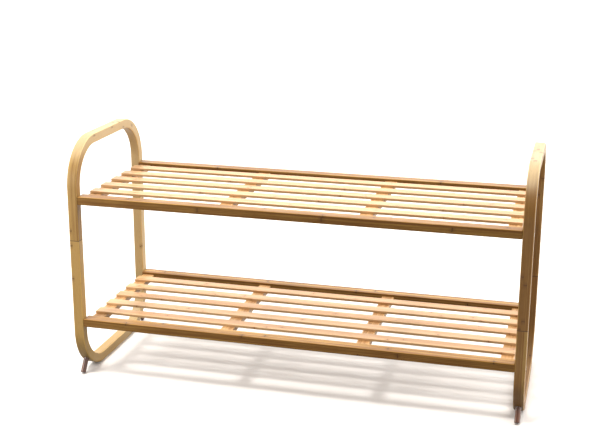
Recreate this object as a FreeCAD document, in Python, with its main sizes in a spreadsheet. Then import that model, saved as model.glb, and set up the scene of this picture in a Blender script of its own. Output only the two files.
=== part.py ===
import FreeCAD, Part
import os
import Sketcher

# Two-tier bamboo entryway bench, millimetres, +Z up, +X along its length, front towards -Y.
# The origin is on the floor, under the middle of the bench.

SIZES = {
    # overall
    "bench_length": 1000.0,
    "loop_depth": 374.0,
    "loop_height": 542.5,
    # side loops: bent laminated bands, each an upper and a lower U glued end to end
    "band_width": 22.5,
    "band_thickness": 21.5,
    "top_bend_radius": 105.0,
    "bottom_bend_radius": 105.0,
    "left_seam_height": 321.0,
    "right_seam_height": 212.0,
    "band_arris": 2.5,
    # shelves
    "lower_shelf_height": 138.0,
    "upper_shelf_height": 422.0,
    "rail_width": 28.0,
    "rail_height": 18.5,
    "rail_setback": 1.5,
    "rail_arris": 2.0,
    "slat_width": 27.0,
    "slat_thickness": 6.0,
    "slat_end_gap": 4.0,
    "slat_arris": 1.2,
    "slat_count": 5,
    "crossbar_width": 28.0,
    "crossbar_height": 12.0,
    "crossbar_arris": 1.0,
    # pegs in the lower bends
    "peg_radius": 6.0,
    "peg_lean": 35.5,
    "peg_socket_depth": 11.0,
    "peg_run_in": 14.0,
    "peg_arris": 1.0,
    # seam dowels
    "seam_dowel_radius": 4.0,
    "seam_dowel_length": 40.0,
    # crossbar dowels
    "bar_dowel_radius": 3.0,
    "dowel_end_clearance": 1.5,
    # rail bolts and barrel nuts
    "bolt_radius": 3.0,
    "bolt_clearance": 0.25,
    "bolt_head_radius": 5.25,
    "bolt_head_height": 3.3,
    "bolt_hex_radius": 2.3,
    "bolt_hex_depth": 2.0,
    "bolt_past_nut": 8.0,
    "nut_radius": 5.0,
    "nut_length": 12.0,
    "nut_inset": 30.0,
    "nut_clearance": 0.1,
    # slat screws
    "screw_radius": 1.5,
    "screw_head_radius": 3.0,
    "screw_head_height": 1.8,
    "screw_bite": 4.0,
}

DERIVED = {
    "half_length": "bench_length / 2",
    "half_depth": "loop_depth / 2",
    "inner_face": "half_length - band_width",
    "leg_axis_x": "half_length - band_width / 2",
    "leg_axis_y": "half_depth - band_thickness / 2",
    "rail_length": "2 * inner_face",
    "rail_axis_y": "half_depth - rail_setback - rail_width / 2",
    "rail_inner_y": "rail_axis_y - rail_width / 2",
    "slat_length": "rail_length - 2 * slat_end_gap",
    "slat_pitch": "2 * rail_axis_y / (slat_count + 1)",
    "crossbar_length": "2 * rail_inner_y",
    "crossbar_end_x": "slat_length / 2 - crossbar_width / 2",
    "crossbar_drop": "slat_thickness + crossbar_height / 2",
    "peg_rise": "bottom_bend_radius * (1 - cos(45))",
    "peg_seat_y": "half_depth - peg_rise",
    "peg_foot_level": "peg_radius * sin(peg_lean)",
    "peg_foot_y": "peg_seat_y + (peg_rise - peg_foot_level) * tan(peg_lean)",
    "peg_length": "(peg_rise - peg_foot_level) / cos(peg_lean) + peg_socket_depth",
    "bar_dowel_depth": "leg_axis_y - bolt_hole_radius - dowel_end_clearance - crossbar_length / 2",
    "bar_dowel_length": "2 * bar_dowel_depth",
    "bolt_head_seat": "half_length - bolt_head_height",
    "nut_axis_x": "inner_face - nut_inset",
    "bolt_length": "bolt_head_seat - nut_axis_x + bolt_past_nut",
    "bolt_hole_radius": "bolt_radius + bolt_clearance",
    "head_hole_radius": "bolt_head_radius + bolt_clearance",
    "nut_hole_radius": "nut_radius + nut_clearance",
    "nut_hole_depth": "rail_height / 2 + nut_length / 2",
    "screw_length": "crossbar_height + screw_bite",
}

SIDES = {"left": -1, "right": 1}
ENDS = {"front": -1, "rear": 1}
SHELVES = ("lower", "upper")
SLAT_COUNT = SIZES["slat_count"]
CROSSBAR_COUNT = 4

X_AXIS = FreeCAD.Vector(1, 0, 0)
Y_AXIS = FreeCAD.Vector(0, 1, 0)
Z_AXIS = FreeCAD.Vector(0, 0, 1)
ALONG_Z = FreeCAD.Rotation()
ALONG_X = FreeCAD.Rotation(Y_AXIS, 90)
ALONG_MINUS_X = FreeCAD.Rotation(Y_AXIS, -90)
ALONG_Y = FreeCAD.Rotation(X_AXIS, -90)


def make_sheet(doc):
    """Write the named sizes, then the sizes worked out from them, into one sheet."""
    sheet = doc.addObject("Spreadsheet::Sheet", "Sizes")
    row = 1
    for name, value in SIZES.items():
        sheet.set("A%d" % row, name)
        sheet.set("B%d" % row, str(value))
        sheet.setAlias("B%d" % row, name)
        row += 1
    doc.recompute()
    for name, formula in DERIVED.items():
        sheet.set("A%d" % row, name)
        sheet.set("B%d" % row, "=" + formula)
        sheet.setAlias("B%d" % row, name)
        row += 1
        doc.recompute()
    return sheet


def sized(formula):
    """Return a formula in brackets, with every size name pointed at the sheet."""
    names = sorted(list(SIZES) + list(DERIVED), key=len, reverse=True)
    out = []
    word = ""
    for char in formula + " ":
        if char.isalnum() or char == "_":
            word += char
            continue
        out.append("Sizes." + word if word in names else word)
        out.append(char)
        word = ""
    return "(%s)" % "".join(out).strip()


def new_body(doc, label):
    body = doc.addObject("PartDesign::Body", label)
    body.Label = label
    return body


def origin_item(body, role):
    """Find a plane or an axis of a body's own origin by its role."""
    return [item for item in body.Origin.OriginFeatures if item.Role == role][0]


def place(body, x="0", y="0", z="0", rotation=ALONG_Z):
    body.Placement = FreeCAD.Placement(FreeCAD.Vector(), rotation)
    for axis, formula in (("x", x), ("y", y), ("z", z)):
        body.setExpression("Placement.Base." + axis, sized(formula) + " * 1 mm")


def turn(item, placement, degrees):
    """Drive the angle of a placement's rotation from the sheet; its axis stays."""
    item.setExpression(placement + ".Rotation.Angle", sized(degrees) + " * 1 deg")


def new_sketch(body, name, plane):
    sketch = body.newObject("Sketcher::SketchObject", name)
    sketch.AttachmentSupport = [(origin_item(body, plane), "")]
    sketch.MapMode = "FlatFace"
    return sketch


def bind(sketch, name, formula):
    """Give the newest constraint a name and drive it from the sheet."""
    sketch.renameConstraint(sketch.ConstraintCount - 1, name)
    sketch.setExpression("Constraints." + name, sized(formula) + " * 1 mm")


def centred_rectangle(sketch, across, up):
    """Draw a rectangle around the sketch origin; across and up are formulas."""
    corners = [(-10, -10), (10, -10), (10, 10), (-10, 10)]
    points = [FreeCAD.Vector(x, y, 0) for x, y in corners]
    for index in range(4):
        sketch.addGeometry(Part.LineSegment(points[index], points[(index + 1) % 4]), False)
    for index in range(4):
        sketch.addConstraint(Sketcher.Constraint("Coincident", index, 2, (index + 1) % 4, 1))
    sketch.addConstraint(Sketcher.Constraint("Horizontal", 0))
    sketch.addConstraint(Sketcher.Constraint("Horizontal", 2))
    sketch.addConstraint(Sketcher.Constraint("Vertical", 1))
    sketch.addConstraint(Sketcher.Constraint("Vertical", 3))
    sketch.addConstraint(Sketcher.Constraint("Symmetric", 0, 1, 2, 1, -1, 1))
    sketch.addConstraint(Sketcher.Constraint("DistanceX", 0, 1, 0, 2, 20.0))
    bind(sketch, "across", across)
    sketch.addConstraint(Sketcher.Constraint("DistanceY", 1, 1, 1, 2, 20.0))
    bind(sketch, "up", up)


def pad(body, sketch, length, name):
    feature = body.newObject("PartDesign::Pad", name)
    feature.Profile = sketch
    feature.SideType = "Symmetric"
    feature.Length = 10.0
    feature.setExpression("Length", sized(length) + " * 1 mm")
    sketch.Visibility = False
    return feature


def round_edges(doc, body, base, radius, name, keep=None):
    """Round the edges of a feature; keep picks which ones."""
    doc.recompute()
    names = []
    for number, edge in enumerate(base.Shape.Edges, 1):
        if keep is None or keep(edge):
            names.append("Edge%d" % number)
    feature = body.newObject("PartDesign::Fillet", name)
    feature.Base = (base, names)
    feature.setExpression("Radius", sized(radius) + " * 1 mm")
    return feature


def drill(body, name, radius, depth, x, y, z, rotation):
    """Bore a round hole that starts at x, y, z and runs along the rotated Z axis."""
    hole = body.newObject("PartDesign::SubtractiveCylinder", name)
    hole.AttachmentSupport = [(origin_item(body, "XY_Plane"), "")]
    hole.MapMode = "FlatFace"
    hole.AttachmentOffset = FreeCAD.Placement(FreeCAD.Vector(), rotation)
    for axis, formula in (("x", x), ("y", y), ("z", z)):
        hole.setExpression("AttachmentOffset.Base." + axis, sized(formula) + " * 1 mm")
    hole.setExpression("Radius", sized(radius) + " * 1 mm")
    hole.setExpression("Height", sized(depth) + " * 1 mm")
    return hole


def bar(doc, label, length, width, height, arris):
    """Make a straight bar along X with all its edges softened, centred on its own origin."""
    body = new_body(doc, label)
    sketch = new_sketch(body, label + "_section", "YZ_Plane")
    centred_rectangle(sketch, width, height)
    solid = pad(body, sketch, length, label + "_pad")
    round_edges(doc, body, solid, arris, label + "_arris")
    return body


def u_outline(sketch, rise, bend):
    """Draw a U of even thickness that stands on the sketch's X axis: outer line, then inner."""
    first_outer = half_outline(sketch, 100, 100, 50, False)
    first_inner = half_outline(sketch, 80, 80, 30, True)
    sketch.addConstraint(Sketcher.Constraint("Coincident", 1, 3, first_inner + 3, 3))
    for start, stop in (((4, 2), (5, 1)), ((9, 2), (0, 1))):
        left = sketch.getPoint(*start)
        right = sketch.getPoint(*stop)
        line = sketch.addGeometry(Part.LineSegment(left, right), False)
        sketch.addConstraint(Sketcher.Constraint("Coincident", *start, line, 1))
        sketch.addConstraint(Sketcher.Constraint("Coincident", line, 2, *stop))
    sketch.addConstraint(Sketcher.Constraint("Radius", 1, 50.0))
    bind(sketch, "bend", bend)
    feet = (
        ("front_outside", (first_outer, 1), "half_depth"),
        ("rear_outside", (first_outer + 4, 2), "half_depth"),
        ("rear_inside", (first_inner, 1), "half_depth - band_thickness"),
        ("front_inside", (first_inner + 4, 2), "half_depth - band_thickness"),
    )
    for name, foot, distance in feet:
        sketch.addConstraint(Sketcher.Constraint("PointOnObject", *foot, -1))
        if name.startswith("front"):
            sketch.addConstraint(Sketcher.Constraint("DistanceX", *foot, -1, 1, 90.0))
        else:
            sketch.addConstraint(Sketcher.Constraint("DistanceX", -1, 1, *foot, 90.0))
        bind(sketch, name, distance)
    sketch.addConstraint(Sketcher.Constraint("DistanceY", -1, 1, 2, 1, 100.0))
    bind(sketch, "rise", rise)


def half_outline(sketch, half, top, radius, backwards):
    """Draw leg, bend, straight, bend and leg in one chain; return its first line's number."""
    quarter = 3.14159265 / 2
    mirror = -1 if backwards else 1
    knee = top - radius
    points = [(-half, 0), (-half, knee), (-knee, top), (knee, top), (half, knee), (half, 0)]
    chain = [FreeCAD.Vector(mirror * x, y, 0) for x, y in points]
    first = sketch.addGeometry(Part.LineSegment(chain[0], chain[1]), False)
    for index, side in ((2, -mirror), (4, mirror)):
        circle = Part.Circle(FreeCAD.Vector(side * knee, knee, 0), Z_AXIS, radius)
        start = quarter if side < 0 else 0
        sketch.addGeometry(Part.ArcOfCircle(circle, start, start + quarter), False)
        sketch.addGeometry(Part.LineSegment(chain[index], chain[index + 1]), False)
    near, far = (1, 2) if backwards else (2, 1)
    for joint in ((0, 2, 1, near), (1, far, 2, 1), (2, 2, 3, near), (3, far, 4, 1)):
        line_a, end_a, line_b, end_b = joint
        sketch.addConstraint(
            Sketcher.Constraint("Tangent", first + line_a, end_a, first + line_b, end_b))
    sketch.addConstraint(Sketcher.Constraint("Vertical", first))
    sketch.addConstraint(Sketcher.Constraint("Horizontal", first + 2))
    sketch.addConstraint(Sketcher.Constraint("Vertical", first + 4))
    sketch.addConstraint(Sketcher.Constraint("Equal", first + 1, first + 3))
    return first


def along_band(edge):
    """True for an edge that runs round the band, not one that crosses it or its seam."""
    xs = [vertex.X for vertex in edge.Vertexes]
    zs = [vertex.Z for vertex in edge.Vertexes]
    return max(xs) - min(xs) < 0.01 and max(zs) > 0.01


def band_u(doc, side, tier):
    """Make one U of a side loop, standing on its seam, then drill it."""
    label = "%s_loop_%s_u" % (side, tier)
    seam = side + "_seam_height"
    body = new_body(doc, label)
    outline = new_sketch(body, label + "_outline", "YZ_Plane")
    if tier == "upper":
        u_outline(outline, "loop_height - " + seam, "top_bend_radius")
    else:
        u_outline(outline, seam, "bottom_bend_radius")
    solid = pad(body, outline, "band_width", label + "_pad")
    round_edges(doc, body, solid, "band_arris", label + "_arris", along_band)
    flip = 1 if tier == "upper" else -1
    drill_rail_holes(body, side, tier, flip)
    drill_seam_holes(body, flip)
    if tier == "lower":
        drill_peg_holes(body, side)
    rotation = ALONG_Z if tier == "upper" else FreeCAD.Rotation(X_AXIS, 180)
    place(body, "%d * leg_axis_x" % SIDES[side], "0", seam, rotation)
    return body


def drill_rail_holes(body, side, tier, flip):
    """Bore the bolt hole and its head recess through both legs, level with the rails."""
    level = "%d * (%s_shelf_height - rail_height / 2 - %s_seam_height)" % (flip, tier, side)
    out = SIDES[side]
    inward = ALONG_MINUS_X if out > 0 else ALONG_X
    for end, sign in ENDS.items():
        y = "%d * leg_axis_y" % sign
        start = "%d * band_width / 2" % out
        drill(body, "bolt_hole_" + end, "bolt_hole_radius", "band_width", start, y, level, inward)
        drill(body, "head_hole_" + end, "head_hole_radius", "bolt_head_height", start, y, level, inward)


def drill_seam_holes(body, flip):
    for end, sign in ENDS.items():
        y = "%d * leg_axis_y" % sign
        drill(body, "seam_hole_" + end, "seam_dowel_radius", "seam_dowel_length / 2",
              "0", y, "0", ALONG_Z)


def drill_peg_holes(body, side):
    """Bore the leaning peg sockets into the outside of each lower bend, at 45 degrees round it."""
    for end, sign in ENDS.items():
        rotation = FreeCAD.Rotation(FreeCAD.Vector(-sign, 0, 0), 180 - SIZES["peg_lean"])
        y = "%d * (peg_seat_y + peg_run_in * sin(peg_lean))" % -sign
        z = side + "_seam_height - peg_rise + peg_run_in * cos(peg_lean)"
        depth = "peg_socket_depth + peg_run_in"
        hole = drill(body, "peg_socket_" + end, "peg_radius", depth, "0", y, z, rotation)
        turn(hole, "AttachmentOffset", "180 - peg_lean")


def peg(doc, side, end):
    """Make a round peg along its own Z, its foot at the origin, and lean it into the bend."""
    label = "peg_%s_%s" % (end, side)
    body = new_body(doc, label)
    sketch = new_sketch(body, label + "_round", "XY_Plane")
    sketch.addGeometry(Part.Circle(FreeCAD.Vector(), Z_AXIS, 6.0), False)
    sketch.addConstraint(Sketcher.Constraint("Coincident", 0, 3, -1, 1))
    sketch.addConstraint(Sketcher.Constraint("Radius", 0, 6.0))
    bind(sketch, "radius", "peg_radius")
    solid = body.newObject("PartDesign::Pad", label + "_pad")
    solid.Profile = sketch
    solid.setExpression("Length", sized("peg_length") + " * 1 mm")
    round_edges(doc, body, solid, "peg_arris", label + "_arris", is_circle)
    sign = ENDS[end]
    rotation = FreeCAD.Rotation(FreeCAD.Vector(sign, 0, 0), SIZES["peg_lean"])
    place(body, "%d * leg_axis_x" % SIDES[side], "%d * peg_foot_y" % sign, "peg_foot_level", rotation)
    turn(body, "Placement", "peg_lean")
    return body


def is_circle(edge):
    return isinstance(edge.Curve, Part.Circle)


def rail(doc, shelf, end):
    """Make a rail and drill it for its bolts, barrel nuts and crossbar dowels."""
    label = "%s_%s_rail" % (shelf, end)
    body = bar(doc, label, "rail_length", "rail_width", "rail_height", "rail_arris")
    sign = ENDS[end]
    bolt_y = "%d * (leg_axis_y - rail_axis_y)" % sign
    hole_depth = "bolt_length - band_width + bolt_head_height + 2"
    for side, out in SIDES.items():
        inward = ALONG_MINUS_X if out > 0 else ALONG_X
        drill(body, "bolt_hole_" + side, "bolt_hole_radius", hole_depth,
              "%d * inner_face" % out, bolt_y, "0", inward)
        drill(body, "nut_hole_" + side, "nut_hole_radius", "nut_hole_depth",
              "%d * nut_axis_x" % out, bolt_y, "-rail_height / 2", ALONG_Z)
    dowel_z = "rail_height / 2 - crossbar_drop"
    into_rail = FreeCAD.Rotation(X_AXIS, -90 * sign)
    for number in range(1, CROSSBAR_COUNT + 1):
        drill(body, "dowel_hole_%d" % number, "bar_dowel_radius", "bar_dowel_length / 2",
              crossbar_x(number), "%d * rail_width / 2" % -sign, dowel_z, into_rail)
    place(body, "0", "%d * rail_axis_y" % sign, shelf + "_shelf_height - rail_height / 2")
    return body


def crossbar_x(number):
    return "crossbar_end_x * %d / %d" % (2 * number - CROSSBAR_COUNT - 1, CROSSBAR_COUNT - 1)


def slat_y(number):
    return "slat_pitch * (%d - (slat_count + 1) / 2)" % number


def slat(doc, shelf, number):
    """Make a slat with a blind pilot hole over every crossbar."""
    label = "%s_slat_%d" % (shelf, number)
    body = bar(doc, label, "slat_length", "slat_width", "slat_thickness", "slat_arris")
    for column in range(1, CROSSBAR_COUNT + 1):
        drill(body, "pilot_%d" % column, "screw_radius", "screw_bite",
              crossbar_x(column), "0", "-slat_thickness / 2", ALONG_Z)
    place(body, "0", slat_y(number), shelf + "_shelf_height - slat_thickness / 2")
    return body


def crossbar(doc, shelf, number):
    """Make a crossbar along Y with screw holes under each slat and a dowel hole in each end."""
    label = "%s_crossbar_%d" % (shelf, number)
    body = new_body(doc, label)
    sketch = new_sketch(body, label + "_plan", "XY_Plane")
    centred_rectangle(sketch, "crossbar_width", "crossbar_length")
    solid = pad(body, sketch, "crossbar_height", label + "_pad")
    round_edges(doc, body, solid, "crossbar_arris", label + "_arris", runs_along_y)
    for row in range(1, SLAT_COUNT + 1):
        drill(body, "shank_%d" % row, "screw_radius", "crossbar_height",
              "0", slat_y(row), "-crossbar_height / 2", ALONG_Z)
        countersink(body, "sink_%d" % row, slat_y(row))
    for end, sign in ENDS.items():
        drill(body, "dowel_hole_" + end, "bar_dowel_radius", "bar_dowel_length / 2",
              "0", "%d * crossbar_length / 2" % sign, "0", FreeCAD.Rotation(X_AXIS, 90 * sign))
    place(body, crossbar_x(number), "0", shelf + "_shelf_height - crossbar_drop")
    return body


def runs_along_y(edge):
    return edge.Length > 100


def countersink(body, name, y):
    cone = body.newObject("PartDesign::SubtractiveCone", name)
    cone.AttachmentSupport = [(origin_item(body, "XY_Plane"), "")]
    cone.MapMode = "FlatFace"
    cone.setExpression("AttachmentOffset.Base.y", sized(y) + " * 1 mm")
    cone.setExpression("AttachmentOffset.Base.z", sized("-crossbar_height / 2") + " * 1 mm")
    cone.setExpression("Radius1", sized("screw_head_radius") + " * 1 mm")
    cone.setExpression("Radius2", sized("screw_radius") + " * 1 mm")
    cone.setExpression("Height", sized("screw_head_height") + " * 1 mm")


def add_round(body, name, radius, height, z="0"):
    """Add a cylinder on the body's own Z axis."""
    solid = body.newObject("PartDesign::AdditiveCylinder", name)
    solid.AttachmentSupport = [(origin_item(body, "XY_Plane"), "")]
    solid.MapMode = "FlatFace"
    solid.setExpression("AttachmentOffset.Base.z", sized(z) + " * 1 mm")
    solid.setExpression("Radius", sized(radius) + " * 1 mm")
    solid.setExpression("Height", sized(height) + " * 1 mm")
    return solid


def save(body_list):
    """Export every piece, after checking that it is whole."""
    os.makedirs("parts", exist_ok=True)
    for item in body_list:
        shape = item.Shape.copy()
        if shape.isNull() or not shape.isValid():
            raise RuntimeError("bad shape: " + item.Label)
        shape.exportStep("parts/%s.step" % item.Label)


def pattern(doc, body, features, steps):
    """Repeat features; each step is an axis role, an overall length formula and a count."""
    doc.recompute()
    multi = body.newObject("PartDesign::MultiTransform", body.Name + "_repeat")
    multi.Originals = features
    moves = []
    for index, (axis, length, count) in enumerate(steps):
        move = doc.addObject("PartDesign::LinearPattern", "%s_step_%d" % (body.Name, index))
        body.addObject(move)
        move.Direction = (origin_item(body, axis), [""])
        move.Occurrences = count
        move.setExpression("Length", sized(length) + " * 1 mm")
        moves.append(move)
    multi.Transformations = moves
    body.Tip = multi
    return multi


def group(doc, label):
    """Start a body that may hold several separate solids."""
    body = new_body(doc, label)
    body.AllowCompound = True
    return body


def slat_screws(doc, shelf):
    """Countersunk screws, driven up through the crossbars into the slats."""
    body = group(doc, shelf + "_slat_screws")
    shank = add_round(body, "shank", "screw_radius", "screw_length")
    head = body.newObject("PartDesign::AdditiveCone", "head")
    head.AttachmentSupport = [(origin_item(body, "XY_Plane"), "")]
    head.MapMode = "FlatFace"
    head.setExpression("Radius1", sized("screw_head_radius") + " * 1 mm")
    head.setExpression("Radius2", sized("screw_radius") + " * 1 mm")
    head.setExpression("Height", sized("screw_head_height") + " * 1 mm")
    across = "slat_pitch * %d" % (SLAT_COUNT - 1)
    pattern(doc, body, [shank, head], [
        ("X_Axis", "2 * crossbar_end_x", CROSSBAR_COUNT),
        ("Y_Axis", across, SLAT_COUNT),
    ])
    level = shelf + "_shelf_height - slat_thickness - crossbar_height"
    place(body, "-crossbar_end_x", slat_y(1), level)
    return body


def crossbar_dowels(doc, shelf):
    """Dowels between the crossbar ends and the rails."""
    body = group(doc, shelf + "_crossbar_dowels")
    stick = add_round(body, "stick", "bar_dowel_radius", "bar_dowel_length")
    pattern(doc, body, [stick], [
        ("X_Axis", "2 * crossbar_end_x", CROSSBAR_COUNT),
        ("Z_Axis", "crossbar_length", 2),
    ])
    place(body, "-crossbar_end_x", "-crossbar_length / 2 - bar_dowel_length / 2",
          shelf + "_shelf_height - crossbar_drop", ALONG_Y)
    return body


def seam_dowels(doc, side):
    """Dowels across the glued seam of a loop, one in each leg."""
    body = group(doc, side + "_seam_dowels")
    stick = add_round(body, "stick", "seam_dowel_radius", "seam_dowel_length")
    pattern(doc, body, [stick], [("Y_Axis", "2 * leg_axis_y", 2)])
    place(body, "%d * leg_axis_x" % SIDES[side], "-leg_axis_y",
          side + "_seam_height - seam_dowel_length / 2")
    return body


def rail_bolts(doc, side):
    """Button-head bolts through a loop's legs into the rails, one for each rail end."""
    body = group(doc, side + "_rail_bolts")
    shank = add_round(body, "shank", "bolt_radius", "bolt_length", "-bolt_length")
    head = add_round(body, "head", "bolt_head_radius", "bolt_head_height")
    socket = body.newObject("PartDesign::SubtractivePrism", "socket")
    socket.AttachmentSupport = [(origin_item(body, "XY_Plane"), "")]
    socket.MapMode = "FlatFace"
    socket.Polygon = 6
    socket.setExpression("AttachmentOffset.Base.z",
                         sized("bolt_head_height - bolt_hex_depth") + " * 1 mm")
    socket.setExpression("Circumradius", sized("bolt_hex_radius") + " * 1 mm")
    socket.setExpression("Height", sized("bolt_hex_depth") + " * 1 mm")
    out = SIDES[side]
    pattern(doc, body, [shank, head, socket], [
        ("Y_Axis", "2 * leg_axis_y", 2),
        ("X_Axis", "upper_shelf_height - lower_shelf_height", 2),
    ])
    if out > 0:
        level = "upper_shelf_height - rail_height / 2"
        rotation = ALONG_X
    else:
        level = "lower_shelf_height - rail_height / 2"
        rotation = ALONG_MINUS_X
    place(body, "%d * bolt_head_seat" % out, "-leg_axis_y", level, rotation)
    return body


def barrel_nuts(doc, side):
    """Barrel nuts that the bolts screw into, standing in the undersides of the rails."""
    body = group(doc, side + "_barrel_nuts")
    barrel = add_round(body, "barrel", "nut_radius", "nut_length")
    bore = drill(body, "bore", "bolt_radius", "2 * nut_radius + 2",
                 "-nut_radius - 1", "0", "nut_length / 2", ALONG_X)
    pattern(doc, body, [barrel, bore], [
        ("Y_Axis", "2 * leg_axis_y", 2),
        ("Z_Axis", "upper_shelf_height - lower_shelf_height", 2),
    ])
    place(body, "%d * nut_axis_x" % SIDES[side], "-leg_axis_y",
          "lower_shelf_height - rail_height / 2 - nut_length / 2")
    return body


def build(doc):
    make_sheet(doc)
    pieces = []
    for side in SIDES:
        for tier in ("upper", "lower"):
            pieces.append(band_u(doc, side, tier))
        pieces.append(seam_dowels(doc, side))
        pieces.append(rail_bolts(doc, side))
        pieces.append(barrel_nuts(doc, side))
        for end in ENDS:
            pieces.append(peg(doc, side, end))
    for shelf in SHELVES:
        for end in ENDS:
            pieces.append(rail(doc, shelf, end))
        for number in range(1, SLAT_COUNT + 1):
            pieces.append(slat(doc, shelf, number))
        for number in range(1, CROSSBAR_COUNT + 1):
            pieces.append(crossbar(doc, shelf, number))
        pieces.append(slat_screws(doc, shelf))
        pieces.append(crossbar_dowels(doc, shelf))
    return pieces


def check(doc):
    """Stop if any object in the document failed to compute."""
    for item in doc.Objects:
        if "Invalid" in item.State or "Error" in item.State:
            raise RuntimeError("%s failed: %s" % (item.Label, item.State))


document = FreeCAD.newDocument("EntrywayBench")
all_pieces = build(document)
document.recompute()
check(document)
save(all_pieces)
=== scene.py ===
import math

import bmesh
import bpy
from mathutils import Matrix, Vector


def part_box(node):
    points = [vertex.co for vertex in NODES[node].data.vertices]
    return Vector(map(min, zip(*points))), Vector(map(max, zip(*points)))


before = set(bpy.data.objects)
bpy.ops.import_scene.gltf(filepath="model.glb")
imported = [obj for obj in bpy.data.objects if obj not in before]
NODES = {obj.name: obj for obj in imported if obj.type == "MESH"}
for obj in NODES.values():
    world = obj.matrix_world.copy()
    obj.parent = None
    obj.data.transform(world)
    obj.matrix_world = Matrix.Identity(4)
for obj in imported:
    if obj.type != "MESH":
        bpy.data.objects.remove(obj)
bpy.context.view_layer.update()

# The loops' centre line and section, from part.py, in metres.
LOOP_DEPTH = 0.374
LOOP_HEIGHT = 0.5425
BAND_THICKNESS = 0.0215
BAND_WIDTH = 0.0225
TOP_BEND_RADIUS = 0.105
BOTTOM_BEND_RADIUS = 0.105
PEG_LEAN = math.radians(35.5)

# How far apart the knuckles of the culm are, in metres.
KNUCKLE_SPACING = 0.27
# Added to the strip numbers, so that none of them is negative.
STRIP_OFFSET = 40

LOOP_UPPER = ("left_loop_upper_u", "right_loop_upper_u")
LOOP_LOWER = ("left_loop_lower_u", "right_loop_lower_u")


# ---------------------------------------------------------------- node maths

def linear(red, green, blue):
    """An sRGB colour, each 0 to 255, as linear RGBA."""
    def channel(value):
        value /= 255.0
        return value / 12.92 if value <= 0.04045 else ((value + 0.055) / 1.055) ** 2.4
    return (channel(red), channel(green), channel(blue), 1.0)


class Wire:
    """One node output. Arithmetic on it adds math nodes to its graph."""

    def __init__(self, graph, socket):
        self.graph = graph
        self.socket = socket

    def __add__(self, other):
        return self.graph.math("ADD", self, other)

    def __sub__(self, other):
        return self.graph.math("SUBTRACT", self, other)

    def __rsub__(self, other):
        return self.graph.math("SUBTRACT", other, self)

    def __mul__(self, other):
        return self.graph.math("MULTIPLY", self, other)

    def __truediv__(self, other):
        return self.graph.math("DIVIDE", self, other)

    __radd__ = __add__
    __rmul__ = __mul__


class Graph:
    """Builds the nodes of one material or world."""

    def __init__(self, tree):
        self.tree = tree
        tree.nodes.clear()

    def add(self, kind, **settings):
        node = self.tree.nodes.new(kind)
        for name, value in settings.items():
            setattr(node, name, value)
        return node

    def feed(self, node, name, value):
        socket = node.inputs[name]
        if isinstance(value, Wire):
            self.tree.links.new(value.socket, socket)
        else:
            socket.default_value = value

    def math(self, operation, *operands):
        node = self.add("ShaderNodeMath", operation=operation)
        for index, operand in enumerate(operands):
            self.feed(node, index, operand)
        return Wire(self, node.outputs[0])

    def absolute(self, value):
        return self.math("ABSOLUTE", value)

    def least(self, first, second):
        return self.math("MINIMUM", first, second)

    def most(self, first, second):
        return self.math("MAXIMUM", first, second)

    def floor(self, value):
        return self.math("FLOOR", value)

    def fraction(self, value):
        return self.math("FRACT", value)

    def fade(self, value, start, end, first=0.0, last=1.0):
        """A smooth change from first, where value is start, to last, where it is end."""
        node = self.add("ShaderNodeMapRange", interpolation_type="SMOOTHSTEP")
        if end < start:
            start, end, first, last = end, start, last, first
        self.feed(node, "Value", value)
        for name, number in (("From Min", start), ("From Max", end),
                             ("To Min", first), ("To Max", last)):
            node.inputs[name].default_value = number
        return Wire(self, node.outputs["Result"])

    def point(self, along, across, through):
        node = self.add("ShaderNodeCombineXYZ")
        for name, value in zip("XYZ", (along, across, through)):
            self.feed(node, name, value)
        return Wire(self, node.outputs[0])

    def noise(self, place, detail=2.0, roughness=0.5):
        node = self.add("ShaderNodeTexNoise")
        node.inputs["Scale"].default_value = 1.0
        node.inputs["Detail"].default_value = detail
        node.inputs["Roughness"].default_value = roughness
        self.feed(node, "Vector", place)
        return Wire(self, node.outputs["Fac"])

    def chance(self, place):
        """A number from 0 to 1 that is the same wherever place is the same."""
        node = self.add("ShaderNodeTexWhiteNoise", noise_dimensions="3D")
        self.feed(node, "Vector", place)
        return Wire(self, node.outputs["Value"])

    def blend(self, amount, first, second):
        """Mixes two colours."""
        node = self.add("ShaderNodeMix", data_type="RGBA")
        self.feed(node, 0, amount)
        for index, value in ((6, first), (7, second)):
            if isinstance(value, Wire):
                self.tree.links.new(value.socket, node.inputs[index])
            else:
                node.inputs[index].default_value = value
        return Wire(self, node.outputs[2])

    def split(self, socket):
        node = self.add("ShaderNodeSeparateXYZ")
        self.tree.links.new(socket, node.inputs[0])
        return [Wire(self, output) for output in node.outputs]

    def place(self):
        """The point's x, y and z in the row frame, in metres."""
        return self.split(self.add("ShaderNodeTexCoord").outputs["Object"])

    def facing(self):
        return self.split(self.add("ShaderNodeNewGeometry").outputs["True Normal"])

    def bump(self, height, distance, strength):
        node = self.add("ShaderNodeBump")
        node.inputs["Strength"].default_value = strength
        node.inputs["Distance"].default_value = distance
        self.feed(node, "Height", height)
        return Wire(self, node.outputs[0])

    def surface(self, color, roughness, normal=None, **fixed):
        shader = self.add("ShaderNodeBsdfPrincipled")
        for name, value in fixed.items():
            shader.inputs[name.replace("_", " ")].default_value = value
        self.feed(shader, "Base Color", color)
        self.feed(shader, "Roughness", roughness)
        if normal is not None:
            self.feed(shader, "Normal", normal)
        output = self.add("ShaderNodeOutputMaterial")
        self.tree.links.new(shader.outputs[0], output.inputs["Surface"])


def new_graph(name):
    material = bpy.data.materials.new(name)
    material.use_nodes = True
    return material, Graph(material.node_tree)


# ---------------------------------------------------------------- bamboo

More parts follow.
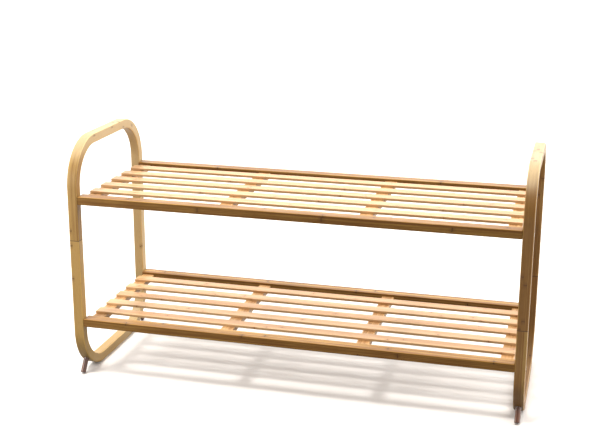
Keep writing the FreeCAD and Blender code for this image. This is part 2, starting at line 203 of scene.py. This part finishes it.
# strips is the width and thickness of the laminated strips, in metres; variety is how
# much their tone changes; shine is the specular level and the weight of the lacquer.
SLAT_LOOK = {
    "pale": linear(232, 198, 148),
    "deep": linear(200, 150, 94),
    "knot": linear(146, 92, 48),
    "strips": (0.009, 0.006),
    "variety": 1.0,
    "shine": (0.4, 0.2),
}
RAIL_LOOK = {
    "pale": linear(186, 142, 70),
    "deep": linear(128, 84, 32),
    "knot": linear(62, 34, 13),
    "strips": (0.0094, 0.0093),
    "variety": 1.5,
    "shine": (0.2, 0.05),
}
CROSSBAR_LOOK = {
    "pale": linear(206, 164, 110),
    "deep": linear(164, 116, 68),
    "knot": linear(112, 68, 34),
    "strips": (0.007, 0.006),
    "variety": 1.2,
    "shine": (0.3, 0.1),
}
LOOP_LOOK = {
    "pale": linear(212, 172, 98),
    "deep": linear(146, 104, 44),
    "knot": linear(84, 50, 20),
    "strips": (0.0075, 0.0072),
    "variety": 1.2,
    "shine": (0.35, 0.15),
}


def straight_grain(graph, node, axis):
    """Grain coordinates of a straight bar: along it, across it and through it, and how
    far the point is from the bar's faces in the last two directions."""
    low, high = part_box(node)
    middle, half = (low + high) / 2, (high - low) / 2
    place = graph.place()
    others = [index for index in range(3) if index != axis]
    across, through = (place[index] - middle[index] for index in others)
    margins = [half[index] - graph.absolute(value)
               for index, value in zip(others, (across, through))]
    along = place[axis] - middle[axis]
    return along, across, through, margins


def bent_grain(graph, node):
    """Grain coordinates of a bent band: along its curve, across its width and through
    its thickness, from the outside of the bend inwards."""
    low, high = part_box(node)
    x, y, z = graph.place()
    radius = TOP_BEND_RADIUS if node in LOOP_UPPER else BOTTOM_BEND_RADIUS
    straight_y = LOOP_DEPTH / 2 - radius
    straight_z = LOOP_HEIGHT / 2 - radius
    side = graph.absolute(y)
    rise = graph.absolute(z - LOOP_HEIGHT / 2)
    out_y = graph.most(side - straight_y, 0.0)
    out_z = graph.most(rise - straight_z, 0.0)
    reach = graph.math("SQRT", out_y * out_y + out_z * out_z)
    depth = radius - reach
    turned = graph.math("ARCTAN2", out_z, out_y)
    along = (graph.least(rise, straight_z) + turned * (radius - BAND_THICKNESS / 2)
             + graph.most(straight_y - side, 0.0))
    along = along + graph.math("SIGN", y) * 0.37
    across = x - (low.x + high.x) / 2
    through = depth - BAND_THICKNESS / 2
    margins = [BAND_WIDTH / 2 - graph.absolute(across),
               BAND_THICKNESS / 2 - graph.absolute(through)]
    return along, across, through, margins


def bamboo(name, look, grain, seed, tone=0.0, end_axis=None, seam=None, painted_light_map=None):
    """Strip-laminated bamboo under a clear satin lacquer. grain gives the coordinates, seed sets
    this piece apart from the others, and tone makes it paler or deeper; on the loops tone also
    paints light and shade. The last argument maps painted highlight and painted light, paling it
    towards near white."""
    material, graph = new_graph(name)
    along, across, through, margins = grain(graph)
    width, ply = look["strips"]
    across_shift = across / width + 0.5 + STRIP_OFFSET
    through_shift = through / ply + 0.5 + STRIP_OFFSET
    strip = graph.floor(across_shift)
    layer = graph.floor(through_shift)
    strip_chance = graph.chance(graph.point(strip, layer, seed))
    strip_phase = graph.chance(graph.point(strip, layer, seed + 0.37))

    # Knuckles: where the culm's wall crossed the strip.
    wander = graph.noise(graph.point(along * 40.0 + seed, across * 260.0, through * 260.0))
    knuckle_run = (along + strip_phase * 0.9 + seed * 0.113) / KNUCKLE_SPACING
    knuckle_here = graph.chance(graph.point(graph.floor(knuckle_run), strip + layer * 7.0, seed))
    knuckle_gate = graph.fade(knuckle_here, 0.38, 0.42)
    knuckle_gap = graph.absolute((graph.fraction(knuckle_run) - 0.5) * KNUCKLE_SPACING
                                 + (wander - 0.5) * 0.006)
    knuckle_line = graph.fade(knuckle_gap, 0.0004, 0.0016, 1.0, 0.0) * knuckle_gate
    knuckle_cloud = graph.fade(knuckle_gap, 0.001, 0.011, 1.0, 0.0) * knuckle_gate

    # Fibres, bent a little round each knuckle.
    bow = (wander - 0.5) * knuckle_cloud * 0.0016
    fibre_across = across + bow
    fibre_through = through + bow
    streaks = graph.noise(graph.point(along * 3.0 + seed * 5.1 + strip * 3.3,
                                      fibre_across * 300.0, fibre_through * 300.0), 3.0)
    fibres = graph.noise(graph.point(along * 14.0 + seed * 2.3 + strip * 1.7,
                                     fibre_across * 1150.0, fibre_through * 1150.0), 2.0)
    bundles = graph.noise(graph.point(along * 75.0 + seed,
                                      fibre_across * 2400.0, fibre_through * 2400.0), 1.0)
    clouds = graph.noise(graph.point(along * 9.0 + seed * 1.9, across * 60.0,
                                     through * 60.0), 2.0)
    dashes = graph.fade(bundles, 0.60, 0.70)

    # Painted highlight and painted light from the last argument: they make the colour paler here
    # and below.
    painted_light_level = 0.0 if painted_light_map is None else painted_light_map(graph)
    depth = ((strip_chance - 0.5) * 0.42 + (streaks - 0.5) * 1.05 + (fibres - 0.5) * 0.55
             + (clouds - 0.5) * 0.5)
    depth = depth * look["variety"] + (0.5 - tone) - painted_light_level * 0.6
    color = graph.blend(graph.fade(depth, 0.0, 1.0), look["pale"], look["deep"])
    # Painted highlight: where the map is high, the colour is pulled towards near white.
    if painted_light_map is not None:
        color = graph.blend(painted_light_level * 0.45, color, linear(246, 226, 182))
    color = graph.blend(dashes * 0.30, color, look["knot"])
    color = graph.blend(knuckle_cloud * 0.34, color, look["knot"])
    color = graph.blend(knuckle_line * 0.75, color, look["knot"])

    # Glue lines between the strips, hairline and a little darker.
    def glue(shifted, size):
        gap = (0.5 - graph.absolute(graph.fraction(shifted) - 0.5)) * size
        return graph.fade(gap, 0.00012, 0.0005, 1.0, 0.0)

    glue_line = graph.most(glue(across_shift, width), glue(through_shift, ply))
    color = graph.blend(glue_line * 0.42, color, look["knot"])

    # The rounded arrises are made paler, partly as rubbed wear and partly as a painted edge
    # highlight, and less glossy than the flats.
    arris = graph.fade(graph.most(margins[0], margins[1]), 0.0004, 0.0024, 1.0, 0.0)
    worn_and_highlit_edge = arris * graph.fade(clouds, 0.35, 0.65, 0.35, 1.0)
    color = graph.blend(worn_and_highlit_edge * 0.35, color, look["pale"])

    height = streaks * 0.5 + fibres * 0.3 + bundles * 0.2
    height = height - glue_line * 0.5 - knuckle_line * 0.35 + knuckle_cloud * 0.25

    if end_axis is not None:
        # End grain: the cut ends of the fibre bundles, as dark specks.
        cut = graph.fade(graph.absolute(graph.facing()[end_axis]), 0.6, 0.8)
        specks = graph.add("ShaderNodeTexVoronoi", feature="F1")
        specks.inputs["Scale"].default_value = 1.0
        graph.feed(specks, "Vector", graph.point(seed, across * 1300.0, through * 1300.0))
        speck = graph.fade(Wire(graph, specks.outputs["Distance"]), 0.22, 0.38, 1.0, 0.0)
        end_color = graph.blend(speck * 0.7, look["deep"], look["knot"])
        color = graph.blend(cut * 0.85, color, end_color)
        height = height - speck * cut * 0.4

    if seam is not None:
        # The butt joint of the two bent halves, a thin dark glue line.
        gap = graph.absolute(graph.place()[2] - seam)
        joint = graph.fade(gap, 0.0004, 0.0012, 1.0, 0.0)
        color = graph.blend(joint * 0.85, color, linear(58, 36, 20))
        height = height - joint * 1.2

    gloss = graph.fade(fibres * 0.6 + clouds * 0.4, 0.3, 0.7, 0.36, 0.52)
    rough = gloss + worn_and_highlit_edge * 0.08 + glue_line * 0.1
    specular, coat = look["shine"]
    graph.surface(color, rough, graph.bump(height, 0.00016, 0.7), IOR=1.5,
                  Specular_IOR_Level=specular, Coat_Weight=coat, Coat_Roughness=0.22)
    return material


# ---------------------------------------------------------------- other finishes

def stained_peg(name, node, seed):
    """Turned hardwood, stained dark brown under a gloss varnish. The grain runs down the
    peg, which leans outwards."""
    material, graph = new_graph(name)
    low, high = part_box(node)
    x, y, z = graph.place()
    outward = math.copysign(1.0, (low.y + high.y) / 2)
    down = y * (outward * math.sin(PEG_LEAN)) - z * math.cos(PEG_LEAN)
    side = y * (outward * math.cos(PEG_LEAN)) + z * math.sin(PEG_LEAN)
    grain = graph.noise(graph.point(down * 30.0 + seed, x * 900.0, side * 900.0), 3.0)
    pores = graph.noise(graph.point(down * 160.0 + seed, x * 2600.0, side * 2600.0), 1.0)
    tint = graph.fade(grain, 0.3, 0.72)
    color = graph.blend(tint, linear(58, 30, 19), linear(122, 72, 44))
    color = graph.blend(graph.fade(pores, 0.6, 0.72) * 0.55, color, linear(24, 14, 9))
    worn = graph.fade(z, low.z + 0.0002, low.z + 0.0032, 1.0, 0.0)
    scuffs = graph.noise(graph.point(x * 700.0, y * 700.0, z * 700.0 + seed), 2.0)
    color = graph.blend(worn * graph.fade(scuffs, 0.42, 0.6) * 0.4, color, linear(128, 92, 62))
    rough = graph.fade(scuffs, 0.3, 0.7, 0.16, 0.28) + worn * 0.2
    height = grain * 0.6 - graph.fade(pores, 0.6, 0.72) * 0.6
    graph.surface(color, rough, graph.bump(height, 0.00008, 0.6), IOR=1.5,
                  Coat_Weight=0.25, Coat_Roughness=0.1)
    return material


def plated_steel(name, seed, tint):
    """Zinc-plated steel, turned, with a fine spangle and a few scratches."""
    material, graph = new_graph(name)
    x, y, z = graph.place()
    spangle = graph.noise(graph.point(x * 900.0 + seed, y * 900.0, z * 900.0), 2.0)
    scratch = graph.noise(graph.point(x * 300.0, y * 6000.0 + seed, z * 300.0), 1.0)
    color = graph.blend(graph.fade(spangle, 0.35, 0.65), tint, linear(214, 214, 208))
    color = graph.blend(graph.fade(scratch, 0.62, 0.72) * 0.5, color, linear(96, 94, 90))
    rough = graph.fade(spangle, 0.3, 0.7, 0.24, 0.42)
    graph.surface(color, rough, graph.bump(spangle + scratch, 0.00005, 0.5), Metallic=1.0)
    return material


def plain_dowel(name, seed):
    """Fluted beech dowel: pale, with short dark rays, and a smear of dried glue."""
    material, graph = new_graph(name)
    x, y, z = graph.place()
    grain = graph.noise(graph.point(x * 500.0 + seed, y * 120.0, z * 500.0), 3.0)
    flecks = graph.noise(graph.point(x * 1800.0, y * 900.0 + seed, z * 1800.0), 1.0)
    glue = graph.noise(graph.point(x * 160.0, y * 160.0, z * 160.0 + seed), 2.0)
    color = graph.blend(graph.fade(grain, 0.3, 0.7), linear(224, 196, 158), linear(198, 162, 120))
    color = graph.blend(graph.fade(flecks, 0.62, 0.7) * 0.5, color, linear(142, 98, 62))
    color = graph.blend(graph.fade(glue, 0.56, 0.62) * 0.5, color, linear(232, 220, 190))
    rough = graph.fade(glue, 0.5, 0.62, 0.62, 0.36)
    graph.surface(color, rough, graph.bump(grain + flecks, 0.0001, 0.6))
    return material


# ---------------------------------------------------------------- who gets what

def dress(node, material):
    for material_slot in NODES[node].material_slots:
        material_slot.material = material


def straight(node, axis):
    return lambda graph: straight_grain(graph, node, axis)


def bent(node):
    return lambda graph: bent_grain(graph, node)


def dress_loops():
    # Painted light and shade: the left loop's lower half is made much paler where light falls,
    # and both halves of the right loop deeper as painted shade.
    lit_and_shaded_tones = {"left_loop_upper_u": 0.02, "right_loop_upper_u": -0.38,
             "left_loop_lower_u": 0.7, "right_loop_lower_u": -0.24}

    def painted_crown_light(graph):
        """Painted highlight on the tops of the loops and painted light on the left loop's rear
        leg, so they are the palest parts.
        """
        x, y, z = graph.place()
        rear_left = graph.fade(y, -0.02, 0.12) * graph.fade(x, -0.2, 0.2, 1.0, 0.0)
        return graph.least(graph.fade(z, 0.485, 0.535) + rear_left * 0.7, 1.0)

    for index, node in enumerate(LOOP_UPPER + LOOP_LOWER):
        low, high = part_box(node)
        joint_height = low.z if node in LOOP_UPPER else high.z
        dress(node, bamboo("bamboo_" + node, LOOP_LOOK, bent(node), 3.1 + 1.7 * index,
                           lit_and_shaded_tones[node], seam=joint_height, painted_light_map=painted_crown_light))


def dress_shelf(shelf, first_seed, rail_tone):
    for index, place in enumerate(("front", "rear")):
        node = f"{shelf}_{place}_rail"
        dress(node, bamboo("bamboo_" + node, RAIL_LOOK, straight(node, 0),
                           first_seed + 2.9 * index, rail_tone, end_axis=0))
    slat_tones = (0.02, 0.10, -0.06, 0.06, 0.00)
    for index, tone in enumerate(slat_tones):
        node = f"{shelf}_slat_{index + 1}"
        dress(node, bamboo("bamboo_" + node, SLAT_LOOK, straight(node, 0),
                           first_seed + 7.3 + 1.37 * index, tone, end_axis=0))
    for index in range(4):
        node = f"{shelf}_crossbar_{index + 1}"
        dress(node, bamboo("bamboo_" + node, CROSSBAR_LOOK, straight(node, 1),
                           first_seed + 17.9 + 1.13 * index, end_axis=1))


def dress_hardware():
    steel = plated_steel("zinc_bolts", 1.3, linear(176, 172, 158))
    screws = plated_steel("zinc_screws", 4.1, linear(190, 176, 132))
    dowel = plain_dowel("beech_dowels", 2.2)
    for side in ("left", "right"):
        dress(f"{side}_rail_bolts", steel)
        dress(f"{side}_barrel_nuts", steel)
        dress(f"{side}_seam_dowels", dowel)
    for shelf in ("lower", "upper"):
        dress(f"{shelf}_slat_screws", screws)
        dress(f"{shelf}_crossbar_dowels", dowel)
    pegs = [name for name in sorted(NODES) if name.startswith("peg_")]
    for index, node in enumerate(pegs):
        dress(node, stained_peg("stained_" + node, node, 1.0 + 2.7 * index))


# ---------------------------------------------------------------- the studio

def make_floor():
    """A wide pale floor. It takes shadows but throws no light back up at the bench."""
    mesh = bpy.data.meshes.new("studio_floor")
    shape = bmesh.new()
    bmesh.ops.create_circle(shape, cap_ends=True, segments=96, radius=60.0)
    shape.to_mesh(mesh)
    shape.free()
    floor = bpy.data.objects.new("studio_floor", mesh)
    bpy.context.scene.collection.objects.link(floor)
    material, graph = new_graph("floor_paint")
    x, y, z = graph.place()
    mottle = graph.noise(graph.point(x * 3.0, y * 3.0, z), 2.0)
    color = graph.blend(mottle, linear(228, 223, 219), linear(224, 219, 214))
    graph.surface(color, 0.7, Specular_IOR_Level=0.2)
    mesh.materials.append(material)
    floor.visible_diffuse = False


def make_world():
    """Bright walls behind and to the right, a bright ceiling, and a dim room in front."""
    room, back_wall, ceiling, right_wall, underneath = 0.03, 2.3, 0.8, 1.5, 0.07
    world = bpy.data.worlds.new("studio")
    world.use_nodes = True
    bpy.context.scene.world = world
    graph = Graph(world.node_tree)
    towards = graph.split(graph.add("ShaderNodeTexCoord").outputs["Generated"])
    behind = graph.fade(towards[1], -0.35, 0.6)
    right = graph.fade(towards[0], 0.15, 0.95)
    above = graph.fade(towards[2], 0.25, 0.95)
    below = graph.fade(towards[2], -0.12, 0.0, 1.0, 0.0)
    open_sky = room + behind * back_wall + above * ceiling + right * right_wall
    strength = open_sky * (1.0 - below) + below * underneath
    background = graph.add("ShaderNodeBackground")
    background.inputs["Color"].default_value = (1.0, 0.985, 0.965, 1.0)
    graph.feed(background, "Strength", strength)
    output = graph.add("ShaderNodeOutputWorld")
    graph.tree.links.new(background.outputs[0], output.inputs["Surface"])


def add_light(name, kind, place, aim, energy, **settings):
    data = bpy.data.lights.new(name, kind)
    data.energy = energy
    for key, value in settings.items():
        setattr(data, key, value)
    lamp = bpy.data.objects.new(name, data)
    lamp.location = place
    lamp.rotation_euler = (Vector(aim) - Vector(place)).to_track_quat("-Z", "Y").to_euler()
    bpy.context.scene.collection.objects.link(lamp)


def make_lights():
    add_light("overhead_key", "SUN", (-0.23, -0.25, 0.94), (0, 0, 0), 2.5,
              angle=math.radians(12.0), color=(1.0, 0.985, 0.96))
    add_light("left_fill", "AREA", (-1.05, -0.75, 0.60), (-0.45, -0.15, 0.28), 6.0,
              shape="DISK", size=0.5, color=(1.0, 0.98, 0.94))


def make_camera():
    data = bpy.data.cameras.new("camera")
    data.sensor_width = 36.0
    data.lens = 67.49
    data.shift_x = 0.0010
    data.shift_y = -0.0009
    data.clip_end = 200.0
    camera = bpy.data.objects.new("camera", data)
    turn, tilt, roll = 0.2568, 0.2769, 0.0042
    place = (0.5906, -2.3467, 1.0568)
    camera.matrix_world = (Matrix.Translation(place)
                           @ Matrix.Rotation(turn, 4, "Z")
                           @ Matrix.Rotation(math.pi / 2 - tilt, 4, "X")
                           @ Matrix.Rotation(roll, 4, "Z"))
    bpy.context.scene.collection.objects.link(camera)
    bpy.context.scene.camera = camera


bpy.context.scene.view_settings.view_transform = "Standard"
make_camera()
dress_loops()
dress_shelf("lower", 11.0, -0.10)
dress_shelf("upper", 47.0, -0.22)
dress_hardware()
make_floor()
make_world()
make_lights()
